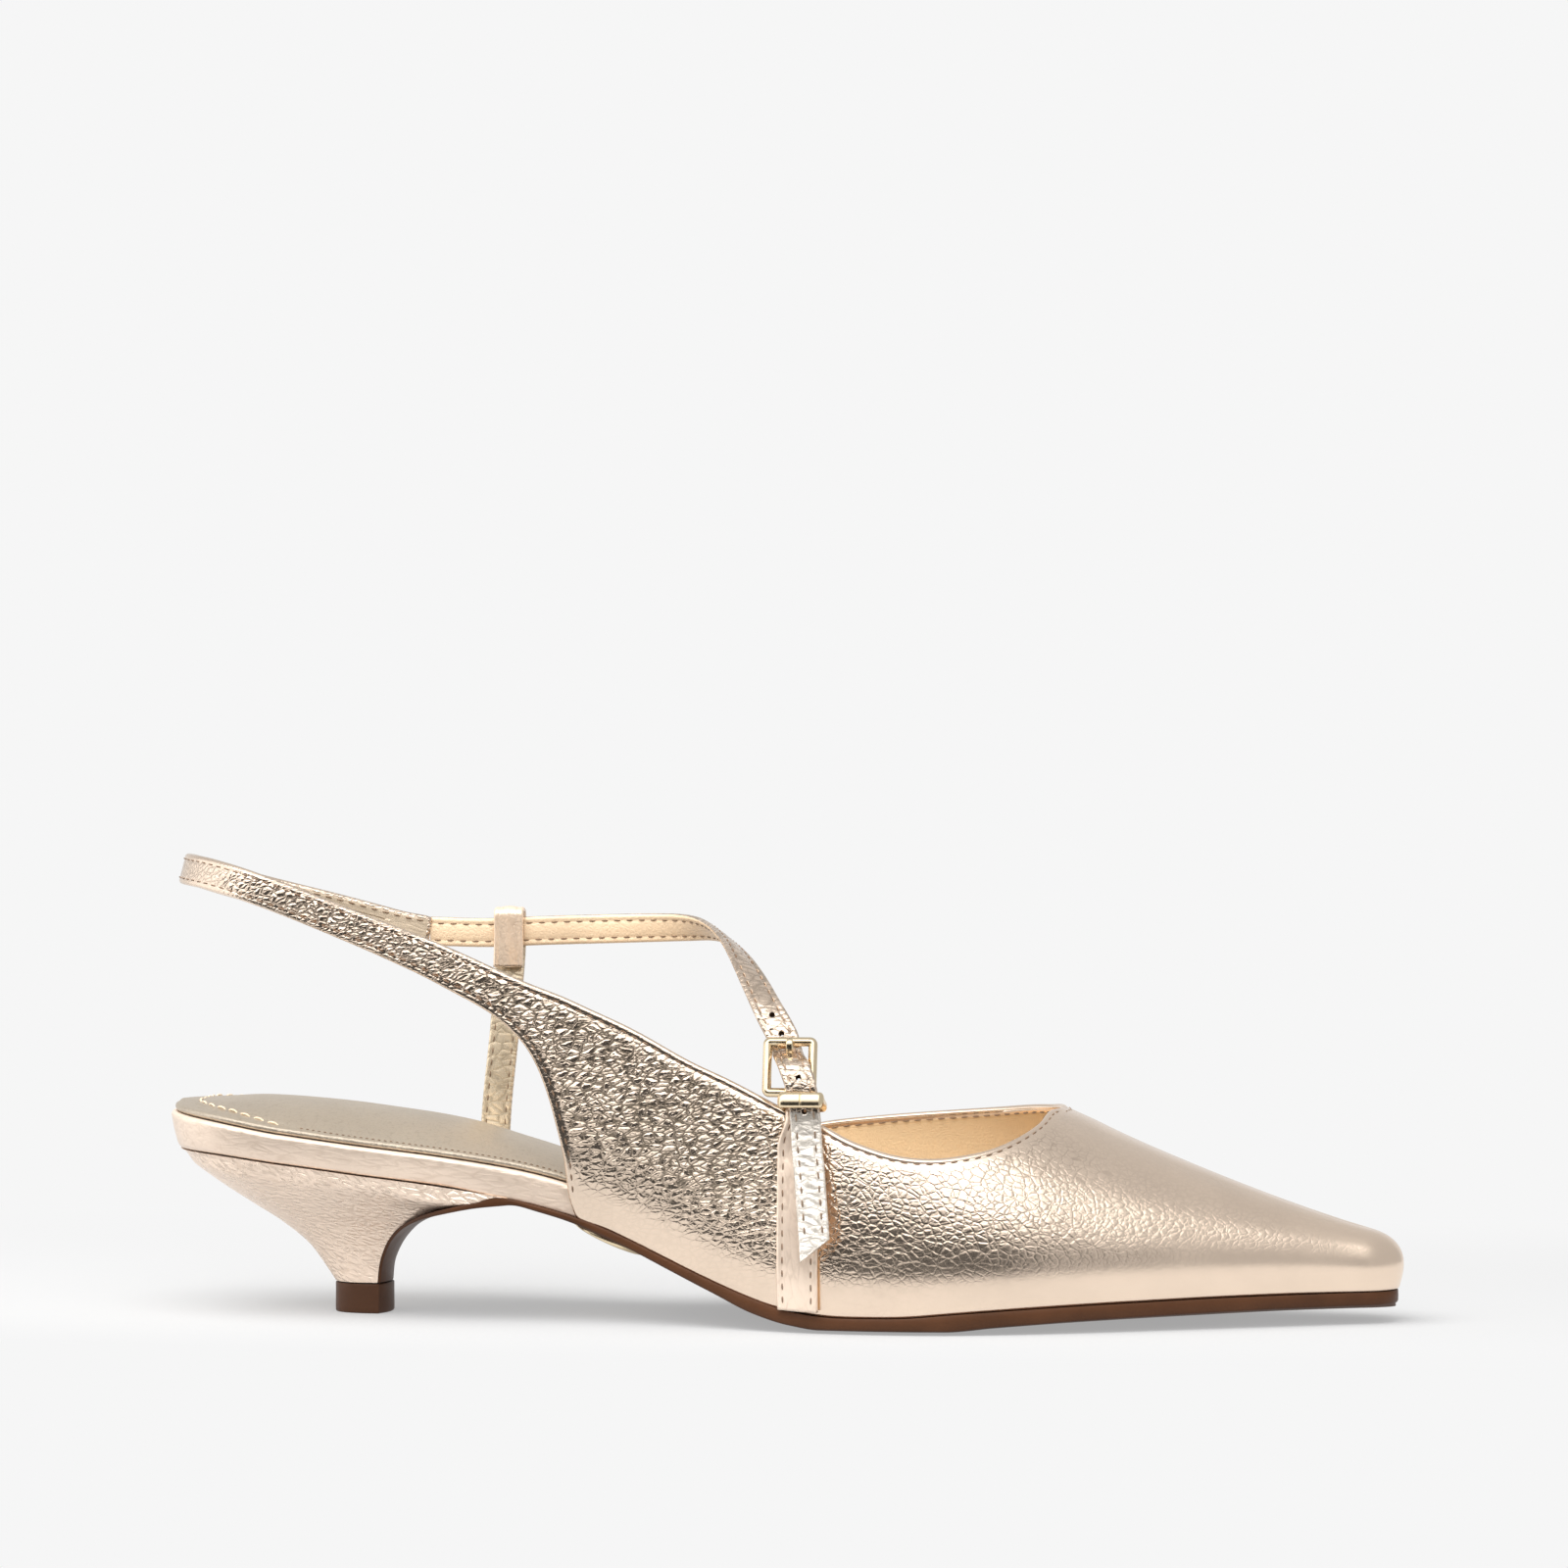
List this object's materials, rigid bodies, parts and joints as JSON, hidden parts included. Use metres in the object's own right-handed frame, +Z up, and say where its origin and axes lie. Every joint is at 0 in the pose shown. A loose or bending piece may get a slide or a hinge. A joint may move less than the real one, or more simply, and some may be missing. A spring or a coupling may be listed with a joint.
{
  "type": "slingback shoe",
  "caption": "Low-heeled slingback shoe for the right foot, with a snipped pointed toe, metallic pebbled leather upper, buckled instep strap and brown leather sole.",
  "frame": {"origin": "middle of the shoe's box, on the floor it stands on", "axes": "+X from heel to toe, -Y to the outer (buckle) side, +Z up"},
  "size_m": [0.2634, 0.0798, 0.0984],
  "materials": {
    "upper_leather": "metallic champagne gold, pebbled grain",
    "heel_leather": "metallic champagne gold, fine grain, wrapped",
    "rim_leather": "metallic champagne gold, fine grain, wrapped",
    "sock_leather": "satin gold",
    "strap_leather": "metallic champagne gold, stitched edges",
    "sole_leather": "brown, satin",
    "top_piece": "brown, matt",
    "buckle_metal": "polished pale gold",
    "disc_metal": "satin gold"
  },
  "bodies": {
    "root": {"upper": "upper_leather", "outsole": "sole_leather", "heel_block": "heel_leather", "heel_top_piece": "top_piece", "insole_board": "rim_leather", "insole": "sock_leather", "side_strip": "strap_leather", "loop_strap": "strap_leather", "instep_strap": "strap_leather", "buckle_frame": "buckle_metal", "buckle_prong": "buckle_metal", "buckle_keeper": "buckle_metal", "sole_disc": "disc_metal"}
  },
  "joints": []
}
